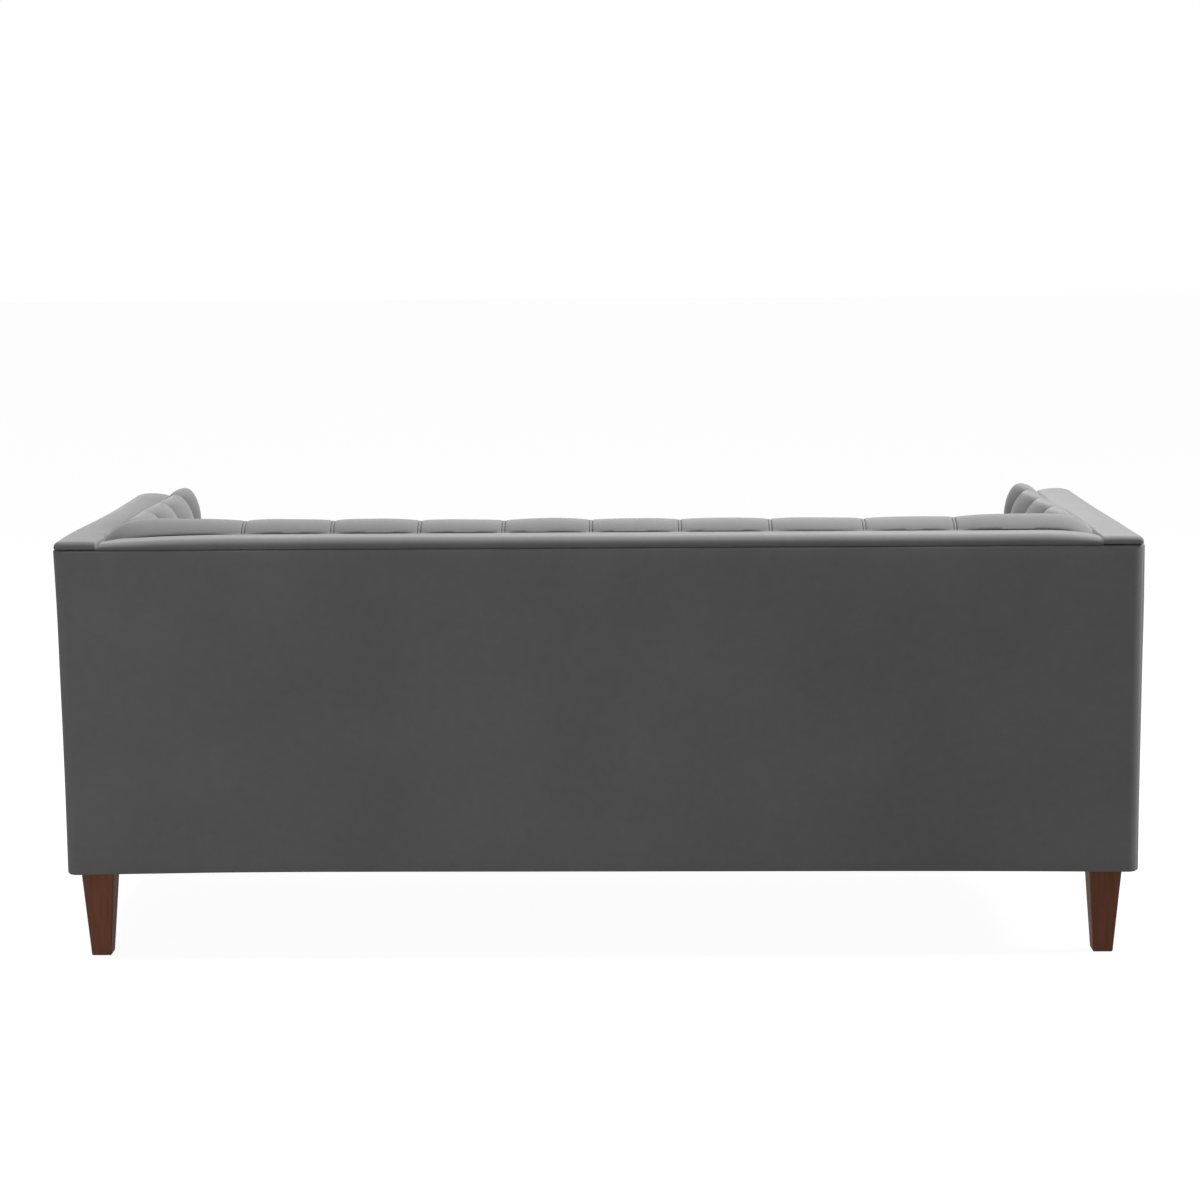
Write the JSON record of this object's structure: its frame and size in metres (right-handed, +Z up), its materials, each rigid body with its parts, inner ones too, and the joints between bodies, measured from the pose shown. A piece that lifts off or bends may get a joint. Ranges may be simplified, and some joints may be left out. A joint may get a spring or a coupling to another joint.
{
  "type": "tufted sofa",
  "caption": "Velvet sofa with straight arms level with its back, square-tufted inside pads, flat top bands, loose seat cushions and tapered wooden legs.",
  "frame": {"origin": "on the floor under the middle of the sofa's bounding box", "axes": "+X along the width, towards the arm that is on the right as seen from in front; +Y towards the back of the sofa, the seat faces -Y; +Z up"},
  "size_m": [1.95, 0.785, 0.798],
  "materials": {
    "velvet": "matte",
    "leg_wood": "satin",
    "timber": "matte",
    "plywood": "matte",
    "steel": "satin",
    "cambric": "matte",
    "plastic": "matte"
  },
  "bodies": {
    "sofa_frame": {"leg_front_left": "leg_wood", "leg_front_right": "leg_wood", "leg_rear_left": "leg_wood", "leg_rear_right": "leg_wood", "leg_glide_front_left": "plastic", "leg_glide_front_right": "plastic", "leg_glide_rear_left": "plastic", "leg_glide_rear_right": "plastic", "hanger_bolt_front_left": "steel", "hanger_bolt_front_right": "steel", "hanger_bolt_rear_left": "steel", "hanger_bolt_rear_right": "steel", "tee_nut_front_left": "steel", "tee_nut_front_right": "steel", "tee_nut_rear_left": "steel", "tee_nut_rear_right": "steel", "corner_block_front_left": "timber", "corner_block_front_right": "timber", "corner_block_rear_left": "timber", "corner_block_rear_right": "timber", "base_front_rail": "timber", "base_back_rail": "timber", "base_left_rail": "timber", "base_right_rail": "timber", "seat_stretcher_left": "timber", "seat_stretcher_right": "timber", "back_post_left": "timber", "back_post_right": "timber", "back_post_centre": "timber", "back_top_rail": "timber", "arm_front_post_left": "timber", "arm_front_post_right": "timber", "arm_top_rail_left": "timber", "arm_top_rail_right": "timber", "inside_back_board": "plywood", "inside_arm_board_left": "plywood", "inside_arm_board_right": "plywood", "seat_spring_1": "steel", "seat_spring_2": "steel", "seat_spring_3": "steel", "seat_spring_4": "steel", "seat_spring_5": "steel", "seat_spring_6": "steel", "seat_deck": "cambric", "dust_cover": "cambric", "outside_back_panel": "velvet", "outside_arm_panel_left": "velvet", "outside_arm_panel_right": "velvet", "arm_front_panel_left": "velvet", "arm_front_panel_right": "velvet", "front_rail_panel": "velvet", "arm_top_pad_left": "velvet", "arm_top_pad_right": "velvet", "back_top_band": "velvet", "inside_back_pad": "velvet", "inside_arm_pad_left": "velvet", "inside_arm_pad_right": "velvet"},
    "left_seat_cushion": {"seat_cushion_left": "velvet"},
    "right_seat_cushion": {"seat_cushion_right": "velvet"}
  },
  "joints": [
    {"name": "left_cushion_lift", "type": "slide", "parent": "sofa_frame", "child": "left_seat_cushion", "axis": [0, 0, 1], "range_m": [0, 0.35]},
    {"name": "right_cushion_lift", "type": "slide", "parent": "sofa_frame", "child": "right_seat_cushion", "axis": [0, 0, 1], "range_m": [0, 0.35]}
  ]
}
